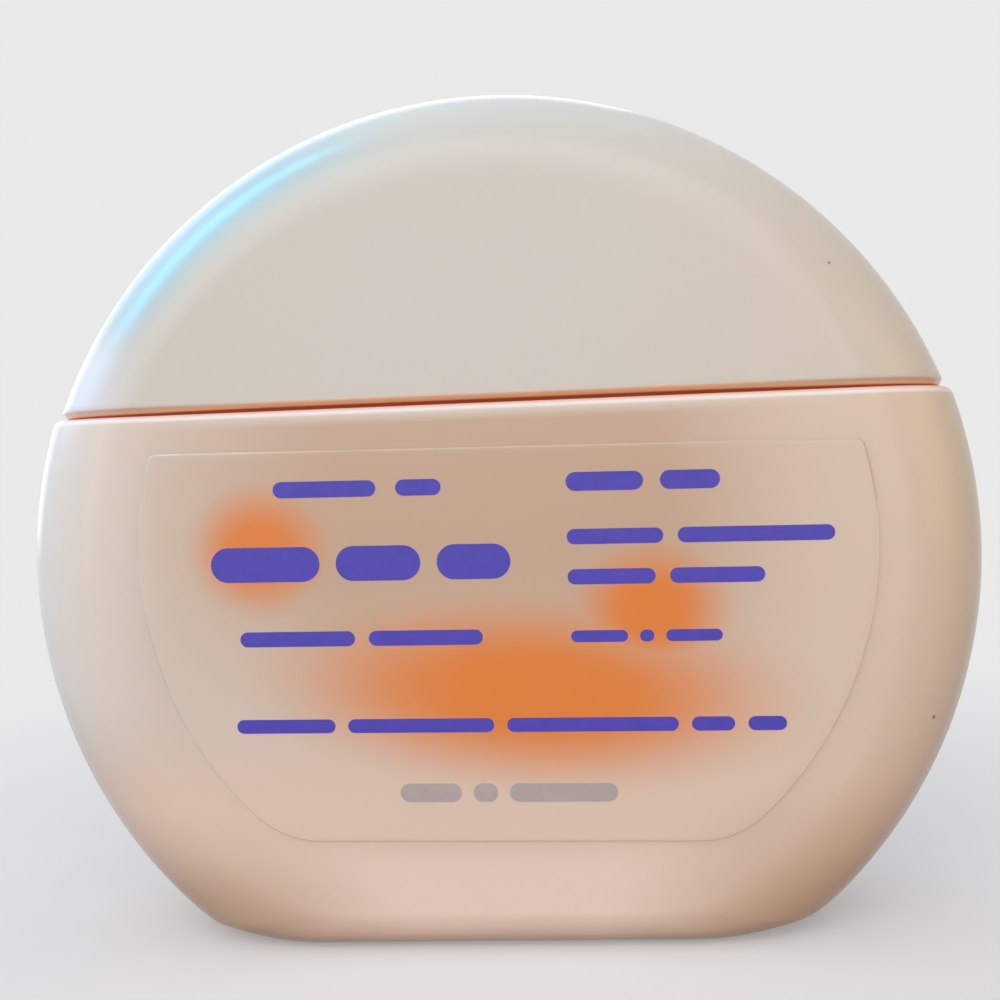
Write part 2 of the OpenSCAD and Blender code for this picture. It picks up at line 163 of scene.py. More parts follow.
def mesh_of(name, shape, materials):
    mesh = bpy.data.meshes.new(name)
    mesh.from_pydata([(x*MM, y*MM, z*MM) for x, y, z in shape.points], [], shape.faces)
    for material in materials:
        mesh.materials.append(material)
    return mesh


def piece(name, shape, body, materials, replaces=(), sharp=None):
    """A piece that rides on a body; edges over the angle sharp, in degrees, are shaded sharp."""
    mesh = mesh_of(name, shape, materials)
    mesh.polygons.foreach_set("material_index", shape.slots)
    mesh.validate()
    bm = bmesh.new()
    bm.from_mesh(mesh)
    bmesh.ops.recalc_face_normals(bm, faces=bm.faces)
    bm.to_mesh(mesh)
    bm.free()
    mesh.polygons.foreach_set("use_smooth", [True]*len(mesh.polygons))
    if sharp is not None:
        mesh.set_sharp_from_angle(angle=math.radians(sharp))
    mesh.update()
    obj = link(name, mesh)
    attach(obj, body)
    if replaces:
        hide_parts(*replaces)


def inset_face(shape, loop, y):
    """Closes a flat face so that its edge is shaded flat: a narrow ring, then one face."""
    points = np.array([shape.points[i] for i in loop])
    middle = points.mean(0)
    ring = points + (middle - points)*FACE_RING_SHARE
    inner = shape.add([(x, y, z) for x, _, z in ring])
    shape.strip(loop, inner)
    shape.face(inner)


def circle(r, z):
    angles = [2*math.pi*i/TURN_STEPS for i in range(TURN_STEPS)]
    return [(r*math.cos(a), r*math.sin(a), z) for a in angles]


def lathe(name, profile, body, material, replaces=()):
    """A closed ring of (radius, z) points turned about the Z axis."""
    shape = Shape()
    rings = [shape.add(circle(r, z)) for r, z in profile]
    shape.strips(rings + rings[:1])
    piece(name, shape, body, [material], replaces, sharp=35)


def rounded(points, radius):
    """Rounds the corners of a closed (r, z) profile."""
    out = []
    n = len(points)
    for i in range(n):
        p, before, after = (np.array(points[k % n], float) for k in (i, i - 1, i + 1))
        u, v = before - p, after - p
        reach = min(radius, np.linalg.norm(u)*MAX_ROUND_SHARE, np.linalg.norm(v)*MAX_ROUND_SHARE)
        start, end = p + u/np.linalg.norm(u)*reach, p + v/np.linalg.norm(v)*reach
        for k in range(ROUND_STEPS + 1):
            t = k/ROUND_STEPS
            out.append(tuple((1 - t)**2*start + 2*t*(1 - t)*p + t*t*end))
    return out


def row_y(thickness, reach):
    return SIDE*(thickness/2 - reach) + reach*SIN


def smooth(share):
    return share*share*(3 - 2*share)


def cut_loop(columns):
    """Once round a flat cut: up the first column and back down the last one."""
    return np.vstack([columns[0], columns[-1][::-1]])


def inward_of(loop):
    """Directions into the cut's loop, square to its own run; straight back where it meets a flat face."""
    run = np.roll(loop, -1, 0) - np.roll(loop, 1, 0)
    inward = np.c_[-run[:, 1], run[:, 0]]
    inward /= np.linalg.norm(inward, axis=1)[:, None]
    for k in (0, NROWS - 1, NROWS, len(loop) - 1):
        inward[k] = (0, -np.sign(loop[k, 1]))
    return inward


# Bottle

def fillet_tilt(reach, z):
    """How far the skin leans at a height: the sine of its slope, row by row."""
    c = (z - CENTRE_Z)/(BODY_R - EDGE_DEPTH*INSET)
    return reach*COS*c/np.hypot(reach*COS, EDGE_DEPTH*SIN)


def low_circles(side_r):
    """Row by row, x and z of two centres: the base's rise and the corner, which touches side and rise."""
    rise_x = BASE_FLAT_W/2 - FLAT_INSET_SHARE*EDGE_DEPTH*INSET
    rise_z = BASE_RISE_R + BASE_DEPTH*INSET
    side, rise = side_r - BASE_CORNER_R, BASE_RISE_R - BASE_CORNER_R
    gap = np.hypot(rise_x, rise_z - CENTRE_Z)
    ux, uz = rise_x/gap, (rise_z - CENTRE_Z)/gap
    along = (side**2 - rise**2 + gap**2)/(2*gap)
    off = np.sqrt(side**2 - along**2)
    return rise_x, rise_z, along*ux + off*uz, CENTRE_Z + along*uz - off*ux


def bottle_columns():
    """Columns of the skin from the shoulder's right end, round the corner and along the base to its left end.

    With them, row by row, the skin's lean at the shoulder's edge and that edge's radius.
    """
    reach = (BODY_T - SIDE_LAND)/2
    r = BODY_R - EDGE_DEPTH*INSET
    edge_r = SHOULDER_END_R + (SHOULDER_EDGE_R - SHOULDER_END_R)*np.abs(SIN)
    lean = fillet_tilt(reach, SHOULDER_Z - edge_r)
    top = SHOULDER_Z - edge_r*(1 - lean)
    rise_x, rise_z, corner_x, corner_z = low_circles(r)
    shoulder = np.arccos((top - CENTRE_Z)/r)
    flank = np.arctan2(corner_x, corner_z - CENTRE_Z)
    turn = np.arctan2(corner_x - rise_x, corner_z - rise_z)

    def low_y(share):
        return row_y(BODY_T, reach + (BASE_REACH - reach)*smooth(share))

    columns = []
    for share in np.arange(SIDE_STEPS + 1)/SIDE_STEPS:
        a = shoulder + (flank - shoulder)*share
        columns.append(np.c_[r*np.sin(a), row_y(BODY_T, reach), CENTRE_Z + r*np.cos(a)])
    low_shares = np.arange(1, CORNER_STEPS + 1)/CORNER_STEPS
    for share in low_shares:
        a = flank + (turn - flank)*share
        columns.append(np.c_[corner_x + BASE_CORNER_R*np.sin(a), low_y(CORNER_BLEND_SHARE*share),
                             corner_z + BASE_CORNER_R*np.cos(a)])
    for share in low_shares:
        a = turn + (math.pi - turn)*share
        y = low_y(CORNER_BLEND_SHARE + (1 - CORNER_BLEND_SHARE)*share)
        columns.append(np.c_[rise_x + BASE_RISE_R*np.sin(a), y, rise_z + BASE_RISE_R*np.cos(a)])
    last = columns[-1]
    columns += [last*[1 - k/FLAT_STEPS, 1, 1] for k in range(1, FLAT_STEPS + 1)]
    left_columns = [c*[-1, 1, 1] for c in reversed(columns[:-1])]
    return columns + left_columns, lean, edge_r


def on_base(column):
    """Whether a column's lowest row lies on the flat that the bottle stands on."""
    return abs(column[EDGE_STEPS][2]) < ON_BASE


def build_bottle(material):
    shape = Shape()
    columns, lean, edge_r = bottle_columns()
    ids = [shape.add(c) for c in columns]
    for c in range(len(ids) - 1):
        for r in range(NROWS - 1):
            if not (r == EDGE_STEPS and on_base(columns[c]) and on_base(columns[c + 1])):
                shape.face([ids[c][r], ids[c + 1][r], ids[c + 1][r + 1], ids[c][r + 1]])
    # Shoulder: a fillet round the cut, then the flat top
    loop = cut_loop(columns)
    inward = inward_of(loop)
    edge_r = np.r_[edge_r, edge_r[::-1]]
    tilt = np.arcsin(np.clip(np.r_[lean, lean[::-1]], 0, MAX_LEAN))
    rings = [ids[0] + ids[-1][::-1]]
    for k in range(1, SHOULDER_STEPS + 1):
        a = tilt + (math.pi/2 - tilt)*k/SHOULDER_STEPS
        d = edge_r*(np.cos(tilt) - np.cos(a))
        dz = edge_r*(np.sin(a) - np.sin(tilt))
        rings.append(shape.add(np.c_[loop[:, :2] + d[:, None]*inward, loop[:, 2] + dz]))
    top = np.array([shape.points[i] for i in rings[-1]])
    rings.append(shape.add(top*SHOULDER_TOP_SHARES))
    shape.strips(rings)
    shape.face(rings[-1])
    inset_face(shape, [i[0] for i in ids], -FACE)
    inset_face(shape, [i[-1] for i in ids], FACE)
    build_base(shape, columns)
    piece("bottle_skin", shape, "bottle_body", [material], ["bottle"])


def slot_outline(half, r):
    """Even steps round a slot: half the length of its straight sides, and the radius of its ends."""
    quarter = math.pi*r/2
    points = []
    for i in range(PUSHUP_STEPS):
        d = 4*(half + quarter)*i/PUSHUP_STEPS
        if d < quarter:
            x, a = half, d/r
        elif d < quarter + 2*half:
            x, a = half - (d - quarter), math.pi/2
        elif d < 3*quarter + 2*half:
            x, a = -half, math.pi/2 + (d - quarter - 2*half)/r
        elif d < 3*quarter + 4*half:
            x, a = -half + (d - 3*quarter - 2*half), 1.5*math.pi
        else:
            x, a = half, 1.5*math.pi + (d - 3*quarter - 4*half)/r
        points.append((x + r*math.cos(a), r*math.sin(a)))
    return points


def build_base(shape, columns):
    """The flat of the base, with its long round-ended hollow."""
    flat = [c[EDGE_STEPS] for c in columns if on_base(c)]
    half_x = max(p[0] for p in flat)
    half_y = abs(flat[0][1])
    slot = slot_outline((PUSHUP_L - PUSHUP_W)/2, PUSHUP_W/2)
    outer = []
    for x, y in slot:
        k = min(half_x/max(abs(x), TINY), half_y/max(abs(y), TINY))
        outer.append((x*k, y*k, 0))
    rings = [shape.add(outer)]
    for x_share, y_share, z in PUSHUP_RINGS:
        rings.append(shape.add([(x*x_share, y*y_share, z) for x, y in slot]))
    shape.strips(rings)
    shape.face(rings[-1])


def build_thread(number, low_z, material):
    """One raised thread start, whose ends fade into the neck's wall."""
    shape = Shape()
    foot = NECK_R - THREAD_SUNK
    half_root, half_crest = THREAD_ROOT_W/2, THREAD_CREST_W/2
    rings = []
    for i in range(THREAD_STEPS + 1):
        share = i/THREAD_STEPS
        k = smooth(min(1, share/THREAD_FADE_SHARE, (1 - share)/THREAD_FADE_SHARE))
        depth = THREAD_DEPTH*(THREAD_END_SHARE + (1 - THREAD_END_SHARE)*k)
        tip = NECK_R + depth
        flank = tip - depth*THREAD_FLANK_SHARE
        a = 2*math.pi*(number/THREAD_STARTS + THREAD_TURNS*share)
        z = low_z + half_root + THREAD_LEAD*THREAD_TURNS*share
        half_section = [(foot, half_root), (flank, half_crest + THREAD_FLANK_OUT),
                        (tip, half_crest - THREAD_CREST_ROUND)]
        section = [(r, -dz) for r, dz in half_section] + half_section[::-1]
        rings.append(shape.add([(r*math.cos(a), r*math.sin(a), z + dz) for r, dz in section]))
    shape.strips(rings)
    shape.face(rings[0])
    shape.face(rings[-1])
    piece("bottle_thread_%d" % (number + 1), shape, "bottle_body", [material], sharp=60)


def build_neck(material):
    collar_r = NECK_R + COLLAR_OUT
    foot = [(collar_r + out, SHOULDER_Z + up) for out, up in COLLAR_FOOT]
    collar_z = SHOULDER_Z + COLLAR_H
    profile = [(NECK_BORE_R, foot[0][1]), *foot, (collar_r, collar_z), (NECK_R, collar_z),
               (NECK_R, NECK_TOP_Z), (NECK_BORE_R, NECK_TOP_Z)]
    lathe("bottle_neck", rounded(profile, NECK_ROUND), "bottle_body", material)
    low_z = NECK_TOP_Z - THREAD_TOP_GAP - THREAD_ROOT_W - THREAD_LEAD*THREAD_TURNS
    for number in range(THREAD_STARTS):
        build_thread(number, low_z, material)


def build_plug(material):
    r = NECK_BORE_R - PLUG_FIT
    low = NECK_TOP_Z - PLUG_SLEEVE_L
    top = NECK_TOP_Z + PLUG_TOP_T
    profile = [(ORIFICE_R, NECK_TOP_Z), (r - PLUG_WALL, NECK_TOP_Z), (r - PLUG_WALL, low),
               (r - PLUG_LEAD_IN, low), (r, low + PLUG_LEAD_IN_L), (r, NECK_TOP_Z), (NECK_R, NECK_TOP_Z),
               (NECK_R, top), (LIP_R, top), (LIP_R - LIP_SLOPE, top + LIP_H), (ORIFICE_R, top + LIP_H)]
    lathe("plug", rounded(profile, PLUG_ROUND), "bottle_body", material, ["nozzle_plug"])


def build_seal(material):
    top = SEAL_Z + SEAL_T
    profile = [(SMALL_R, SEAL_Z), (SEAL_R, SEAL_Z), (SEAL_R, top), (SMALL_R, top)]
    lathe("seal", rounded(profile, SEAL_ROUND), "seal", material, ["seal_disc"])


# Cap

def dome_columns(skin, low_z):
    """Columns of the cap's skin, inset by skin, from the rim's right end over the dome to its left end."""
    reach = (CAP_T - SIDE_LAND)/2 - skin
    r = DOME_R - skin - (EDGE_DEPTH - skin)*INSET
    y = row_y(CAP_T - 2*skin, reach)
    first = np.arccos((low_z - DOME_Z)/r)
    turns = [first*(1 - 2*i/DOME_STEPS) for i in range(DOME_STEPS + 1)]
    return [np.c_[r*np.sin(a), y, DOME_Z + r*np.cos(a)] for a in turns]


def build_cap(material):
    shape = Shape()
    columns = dome_columns(0, RIM_Z + CAP_BEVEL)
    loops = []
    for skin, skin_columns in ((0, columns), (CAP_WALL, dome_columns(CAP_WALL, RIM_Z))):
        ids = [shape.add(c) for c in skin_columns]
        for a, b in zip(ids, ids[1:]):
            shape.strip(a, b, closed=False)
        inset_face(shape, [i[0] for i in ids], skin - CAP_T/2)
        inset_face(shape, [i[-1] for i in ids], CAP_T/2 - skin)
        loops.append(ids[0] + ids[-1][::-1])
    # The bevel along the lower edge, with its two edges a little rounded; it narrows round the sides
    loop = cut_loop(columns)
    share = BEVEL_SIDE_SHARE + (1 - BEVEL_SIDE_SHARE)*np.abs(np.r_[SIN, SIN[::-1]])
    inward = inward_of(loop)*share[:, None]
    bevel = [shape.add(np.c_[loop[:, :2] + inward*d, loop[:, 2] - dz]) for d, dz in BEVEL_RINGS]
    shape.strips([loops[0], *bevel, loops[1]])
    piece("cap_skin", shape, "cap", [material], ["cap_shell"], sharp=50)
    top = SLEEVE_TOP_Z + CAP_WALL
    profile = [(SOCKET_BORE_R, SOCKET_LOW_Z), (SOCKET_R, SOCKET_LOW_Z), (SOCKET_R, top), (SMALL_R, top),
               (SMALL_R, SLEEVE_TOP_Z), (SOCKET_BORE_R, SLEEVE_TOP_Z)]
    lathe("cap_socket", rounded(profile, SOCKET_ROUND), "cap", material)
    build_rib(material)


def build_rib(material):
    """The rib that ties the socket to the cap's roof; its sides end inside the cap's wall."""
    shape = Shape()
    sunk = CAP_WALL*RIB_SINK_SHARE
    profile = []
    for z in np.linspace(SLEEVE_TOP_Z + RIB_FOOT, TOTAL_H - sunk, RIB_STEPS):
        k = max(0, 1 - (TOTAL_H - z)/EDGE_DEPTH)
        profile.append((CAP_T/2 - sunk - (CAP_T - SIDE_LAND)/2*(1 - math.sqrt(1 - k*k)), z))
    back, front = ([shape.add([(x, side*y, z) for y, z in profile]) for x in (-RIB_T/2, RIB_T/2)]
                   for side in (1, -1))
    for a, b in ((back[0], back[1]), (front[0], front[1]), (back[0], front[0]), (back[1], front[1])):
        shape.strip(a, b, closed=False)
    for k in (0, -1):
        shape.face([back[0][k], back[1][k], front[1][k], front[0][k]])
    piece("cap_rib", shape, "cap", [material], sharp=35)


# Labels

def arc(cx, cz, r, start, end, steps):
    angles = [start + (end - start)*i/steps for i in range(steps + 1)]
    return [(cx + r*math.cos(a), cz + r*math.sin(a)) for a in angles]


def label_corner(r, z, is_top):
    """The rounded corner of a label's right half, where its round side meets the straight edge at z."""
    cz = z - r if is_top else z + r
    cx = math.sqrt((LABEL_R - r)**2 - (cz - LABEL_CENTRE_Z)**2)
    side = math.atan2(cz - LABEL_CENTRE_Z, cx)
    start, end = (math.pi/2, side) if is_top else (side, -math.pi/2)
    return arc(cx, cz, r, start, end, LABEL_CORNER_STEPS)


def label_outline():
    top = label_corner(LABEL_HIGH_CORNER_R, LABEL_HIGH_Z, True)
    bottom = label_corner(LABEL_LOW_CORNER_R, LABEL_LOW_Z, False)
    start, end = (math.atan2(z - LABEL_CENTRE_Z, x) for x, z in (top[-1], bottom[0]))
    side = arc(0, LABEL_CENTRE_Z, LABEL_R, start, end, LABEL_STEPS)[1:-1]
    half = top + side + bottom
    return half + [(-x, z) for x, z in reversed(half)]


def on_front(x, z, y):
    """A point of the front label's own drawing, shifted and turned as the label lies."""
    a = math.radians(LABEL_TURN)
    dz = z - LABEL_MIDDLE_Z
    turned_x, turned_z = x*math.cos(a) + dz*math.sin(a), dz*math.cos(a) - x*math.sin(a)
    return (LABEL_SHIFT + turned_x, y, LABEL_MIDDLE_Z + turned_z)


def on_back(x, z, y):
    return (-x, y, z)


def build_film(name, place, out, materials, node):
    """A film with a thin sloped edge on one face; out is -1 for the front and 1 for the back."""
    shape = Shape()
    outline = np.array(label_outline())
    run = np.roll(outline, -1, 0) - np.roll(outline, 1, 0)
    inward = np.c_[run[:, 1], -run[:, 0]]
    inward /= np.linalg.norm(inward, axis=1)[:, None]
    rings = []
    for d, height in ((0, -FILM_SUNK), *((d, LABEL_T*share) for d, share in FILM_EDGE)):
        rings.append(shape.add([place(x, z, out*(FACE + height)) for x, z in outline + inward*d]))
    for k, (a, b) in enumerate(zip(rings, rings[1:])):
        shape.strip(a, b, slot=1 if k < FILM_EDGE_RINGS else 0)
    shape.face(rings[-1])
    shape.face(rings[0])
    piece(name, shape, "bottle_body", materials, [node], sharp=30)


def pill(shape, place, x0, x1, z0, z1, out):
    """One round-ended mark of printing ink on a label."""
    r = min(x1 - x0, z1 - z0)/2
    points = []
    for k, (cx, cz) in enumerate(((x1 - r, z1 - r), (x0 + r, z1 - r), (x0 + r, z0 + r), (x1 - r, z0 + r))):
        points += arc(cx, cz, r, math.radians(90*k), math.radians(90*k + 90), PILL_STEPS)
    low, high = (shape.add([place(x, z, out*y) for x, z in points])
                 for y in (FACE + LABEL_T, FACE + LABEL_T + INK_T))
    shape.strip(low, high)
    shape.face(high)
    shape.face(low)


def build_marks(name, rows, place, out, material):
    """Rows of marks: z from and to, then x from and to of each mark."""
    shape = Shape()
    for z0, z1, *words in rows:
        for x0, x1 in words:
            pill(shape, place, x0, x1, z0, z1, out)
    piece(name, shape, "bottle_body", [material], sharp=40)


# Plain marks where the real label has words
FRONT_ROWS = (
    (39.6, 41.0, (-19.5, -10.6), (-8.9, -5.0)),
    (32.4, 35.4, (-25.1, -15.6), (-14.2, -6.9), (-5.5, 0.8)),
    (26.8, 28.1, (-22.7, -12.7), (-11.5, -1.7)),
    (39.7, 41.3, (5.6, 12.1), (13.5, 18.5)),
    (35.2, 36.5, (5.6, 13.7), (14.9, 27.9)),
    (31.8, 33.1, (5.6, 13.0), (14.2, 22.1)),
    (26.9, 27.9, (5.8, 10.6), (11.6, 12.8), (13.8, 18.5)),
    (19.3, 20.5, (-23.2, -14.6), (-13.5, -0.9), (0.2, 14.7), (15.8, 19.4), (20.5, 23.7)),
)
GREY_ROWS = ((13.3, 14.9, (-9.1, -3.8), (-2.8, -0.7), (0.3, 9.5)),)
BACK_ROW_COUNT, BACK_TOP_Z, BACK_PITCH, BACK_MARK_H, BACK_GAP = 9, 40.6, 2.6, 0.7, 1.2


def back_rows():
    """Rows of three marks each on the back, with ends that differ a little from row to row."""
    rows = []
    for k in range(BACK_ROW_COUNT):
        z = BACK_TOP_Z - BACK_PITCH*k
        a, b, c, d = -22 + 1.1*(k % 2), -6 + 2.3*(k % 3), 5 + 1.7*(k % 2), 20 - 2.1*(k % 3)
        rows.append((z, z + BACK_MARK_H, (a, b), (b + BACK_GAP, c), (c + BACK_GAP, d)))
    return rows


# Materials

def linear(r, g, b):
    """An sRGB colour of 0 to 255 as linear RGBA."""
    def one(c):
        c /= 255
        return c/12.92 if c <= 0.04045 else ((c + 0.055)/1.055)**2.4
    return (one(r), one(g), one(b), 1.0)


class Nodes:
    """A node tree built with short calls; an input is named by its label or by its number, as in i0."""

    def __init__(self, tree):
        self.tree = tree

    def set(self, node, key, value):
        socket = node.inputs[int(key[1:])] if key[0] == "i" and key[1:].isdigit() else node.inputs[key]
        if isinstance(value, bpy.types.NodeSocket):
            self.tree.links.new(value, socket)
        else:
            socket.default_value = value

    def node(self, kind, props=None, **inputs):
        node = self.tree.nodes.new("ShaderNode" + kind)
        for key, value in (props or {}).items():
            setattr(node, key, value)
        for key, value in inputs.items():
            self.set(node, key.replace("_", " "), value)
        return node

    def math(self, operation, a, b=0.0):
        return self.node("Math", {"operation": operation}, i0=a, i1=b).outputs[0]

    def times(self, *shares):
        product = shares[0]
        for share in shares[1:]:
            product = self.math("MULTIPLY", product, share)
        return product

    def vector(self, operation, a, b=(0, 0, 0)):
        """Both outputs of a vector node: the vector and the value."""
        return self.node("VectorMath", {"operation": operation}, i0=a, i1=b).outputs

    def span(self, value, low, high, to_low=0.0, to_high=1.0):
        """Smooth step from one value to another as value goes from low to high."""
        return self.node("MapRange", {"interpolation_type": "SMOOTHSTEP"}, Value=value, From_Min=low,
                         From_Max=high, To_Min=to_low, To_Max=to_high).outputs[0]

    def fade(self, value, start, end, to_low=0.0, to_high=1.0):
        """A smooth step whose ends are given in millimetres."""
        return self.span(value, start*MM, end*MM, to_low, to_high)

    def mix(self, share, a, b):
        return self.node("Mix", {"data_type": "RGBA"}, Factor=share, i6=a, i7=b).outputs[2]

    def seen_directly(self):
        """1 for rays of the camera and for those mirrored or let through."""
        rays = self.node("LightPath").outputs
        seen = self.math("MAXIMUM", rays["Is Camera Ray"], rays["Is Glossy Ray"])
        return self.math("MAXIMUM", seen, rays["Is Transmission Ray"])


class Material(Nodes):
    """A material whose colours are placed by the position on the bottle."""

    def __init__(self, name, **shader):
        self.material = bpy.data.materials.new(name)
        self.material.use_nodes = True
        super().__init__(self.material.node_tree)
        self.shader = self.tree.nodes["Principled BSDF"]
        for key, value in shader.items():
            self.set(self.shader, key.replace("_", " "), value)
        self.position = self.node("TexCoord").outputs["Object"]
        self.x, self.y, self.z = self.node("SeparateXYZ", Vector=self.position).outputs

    def noise(self, scale, detail):
        return self.node("TexNoise", Vector=self.position, Scale=scale, Detail=detail).outputs["Fac"]

    def patches(self, scale, detail=2.0, low=0.3, high=0.7, to_low=0.0, to_high=1.0):
        """Soft patches of noise, from one value to another."""
        return self.span(self.noise(scale, detail), low, high, to_low, to_high)

    def region(self, **ends):
        """1 where every axis named lies past its end, 0 before its start: x=(start, end) and so on."""
        return self.times(*(self.fade(getattr(self, axis), *pair) for axis, pair in ends.items()))

    def reach_from(self, x, z):
        """Distance on the front view from a point."""
        flat = self.vector("MULTIPLY", self.position, (1, 0, 1))[0]
        return self.vector("DISTANCE", flat, (x*MM, 0, z*MM))[1]

    def spot(self, x, z, half_x, half_z, tilt, core, edge):
        """1 inside a soft oval on the front view, 0 outside it."""
        moved = self.vector("SUBTRACT", self.position, (x*MM, 0, z*MM))[0]
        turned = self.node("VectorRotate", {"rotation_type": "Y_AXIS"}, Vector=moved,
                           Angle=math.radians(tilt)).outputs[0]
        scaled = self.vector("MULTIPLY", turned, (1/(half_x*MM), 0, 1/(half_z*MM)))[0]
        return self.span(self.vector("LENGTH", scaled)[1], core, edge, 1.0, 0.0)

    def speck(self, colour, centre, radius, core, rgb):
        """A dark speck in the plastic at one point, with a soft rim from core to radius."""
        away = self.vector("DISTANCE", self.position, [c*MM for c in centre])[1]
        return self.mix(self.fade(away, radius, core), colour, linear(*rgb))

    def layers(self, colour, *pairs):
        """Lays colours over each other in turn, each by its share."""
        for share, over in pairs:
            colour = self.mix(share, colour, over)
        return colour

    def bump(self, height, depth, strength, normal=None):
        extra = {"Normal": normal} if normal else {}
        return self.node("Bump", Height=height, Distance=depth*MM, Strength=strength, **extra).outputs[0]

    def finish(self, colour, roughness, normal=None):
        """Sets what the shader shows; without a normal of its own it gets the moulded skin's fine grain."""
        self.set(self.shader, "Base Color", colour)
        self.set(self.shader, "Roughness", roughness)
        self.set(self.shader, "Normal", normal or self.grain())
        return self.material

    def grain(self, normal=None):
        return self.bump(self.noise(scale=2600.0, detail=2.0), depth=0.012, strength=0.5, normal=normal)


# Soft orange shapes behind the milky filling: x, z, half sizes, tilt
GLOWS = ((3.0, 22.6, 19.5, 7.2, -4.0), (-20.0, 35.5, 5.4, 5.0, 0.0), (13.5, 29.5, 6.0, 5.0, 0.0))
# Where such a shape starts to fade and has faded, in shares of its half sizes
GLOW_SOFT, PRINT_SOFT = (0.35, 1.34), (0.90, 0.93)
ORANGE_GLOW, ORANGE_PRINT = (222, 123, 40), (226, 124, 48)

# Tones of the milky plastic; where there are two, the colour wanders softly between them
CREAM, FILLING = ((213, 196, 180), (211, 193, 176)), ((195, 164, 138), (192, 160, 133))
# The corner tone is painted shade at the two lower corners
LOW_TONE, FOOT_TONE, CORNER_SHADE_TONE = (222, 196, 176), (229, 207, 191), (198, 168, 141)
# Painted light, paler on the left and warmer on the right, and painted shade at the right edge
PAINTED_LEFT_LIGHT_TONE, PAINTED_RIGHT_LIGHT_TONE, PAINTED_RIGHT_SHADE_TONE = (221, 207, 194), (214, 192, 171), (208, 191, 166)
# Painted highlight on the shoulder's edge and painted warm light on its top
SHOULDER_HIGHLIGHT_TONE, SHOULDER_TOP_WARM_LIGHT_TONE = (231, 216, 208), (238, 178, 156)
# The film darkens the tones under it by this much
FILM_SHIFT = -1

# Where the tones lie: on each axis, where one starts and where it is full
LOW_BAND, FOOT_BAND = {"z": (22, 12)}, {"z": (11.5, 6.5)}
# Where the painted light on the left and right and the painted shade at the right edge lie
PAINTED_LEFT_LIGHT, PAINTED_RIGHT_LIGHT = {"x": (-27, -37), "z": (14, 24)}, {"x": (12, 34), "z": (0, 16)}
PAINTED_RIGHT_SHADE, FRONT = {"x": (35.5, 40.5)}, {"y": (-7.5, -9.5)}
# Where the painted highlight on the shoulder's edge and the painted warm light on its top lie
SHOULDER_HIGHLIGHT, SHOULDER_TOP_WARM_LIGHT = {"z": (46.74, 46.98)}, {"z": (47.07, 47.25)}
# The filling shows round its middle, less near the base, and not at the shoulder
FILLING_MIDDLE, FILLING_REACH = (1, 37), (38, 13)
FILLING_RISE, FILLING_LEAST, FILLING_TOP = (12, 36), 0.10, (46.9, 45.8)
# The painted shade at the two lower corners: x, z, half sizes, tilt, and the shares where the shade starts
# and has faded
PAINTED_CORNER_SHADES = ((-27.0, 2.5, 16.5, 8.5, 0, 0.2, 1.25), (28.0, 1.5, 17.0, 12.0, 0, 0.2, 1.25))
# Half the width of the mould's line, from its core to its edge
SEAM = (0.05, 0.14)

# Tones of the cap and where they lie: painted warm light on the right, painted cool light in a ring, by its
# depth under the dome's outline, and painted light at the lower left end
BONE, CAP_RIGHT_WARM_LIGHT_TONE, CAP_COOL_LIGHT_TONE = ((205, 197, 186), (203, 194, 181)), (207, 194, 177), (170, 190, 189)
CAP_LOW_LEFT_LIGHT_TONE = (219, 209, 207)
# Painted warm light on the cap's bevel and rim, and painted shade in the groove below it
WARM_LIGHT_TONE, DEEP_WARM_LIGHT_TONE, GROOVE_SHADE_TONE = (240, 203, 174), (240, 176, 122), (158, 76, 36)
CAP_RIGHT_WARM_LIGHT, CAP_LOW_LEFT_LIGHT = {"x": (6, 36)}, {"x": (-29, -36), "z": (56.0, 51.5)}
CAP_COOL_LIGHT, COOL_LIGHT_INNER, COOL_LIGHT_OUTER = {"x": (-4, -22), "z": (50.5, 59.0), "y": (0, -5)}, (7.5, 4.0), (0.2, 2.2)
# The heights over the rim of the bands of painted warm light and of painted shade in the groove; between two
# distances off the middle they come down by the drop
WARM_LIGHT_BAND, DEEP_WARM_LIGHT_BAND, GROOVE_SHADE_BAND = (0.74, 0.52), (0.44, 0.08), (0.21, 0.05)
BAND_ENDS, BAND_DROP, SHADE_DROP_SHARE = (16, 38), 0.36, 0.35

# Tones of the film's edge and where they lie: painted shade on the upper edge, and painted light on the right
# and lower edges
EDGE_TONES, UPPER_EDGE_SHADE_TONE = ((204, 184, 167), (214, 198, 184)), (194, 167, 144)
RIGHT_EDGE_LIGHT_TONE, LOW_EDGE_LIGHT_TONE = (219, 201, 184), (226, 209, 193)
UPPER_EDGE_SHADE, RIGHT_EDGE_LIGHT = {"x": (-24, -12), "z": (36, 41)}, {"x": (14, 24), "z": (40, 34)}
LOW_EDGE_LIGHT = {"z": (26, 12)}

# Specks in the plastic: centre, outer and inner radius, colour
BODY_SPECK = ((36.82, -8.96, 19.45), 0.3, 0.16, (120, 100, 90))
CAP_SPECK = ((29.16, -9.05, 57.95), 0.22, 0.12, (90, 80, 72))


def glow_share(t, soft):
    share = None
    for glow in GLOWS:
        one = t.spot(*glow, *soft)
        share = one if share is None else t.math("MAXIMUM", share, one)
    return share


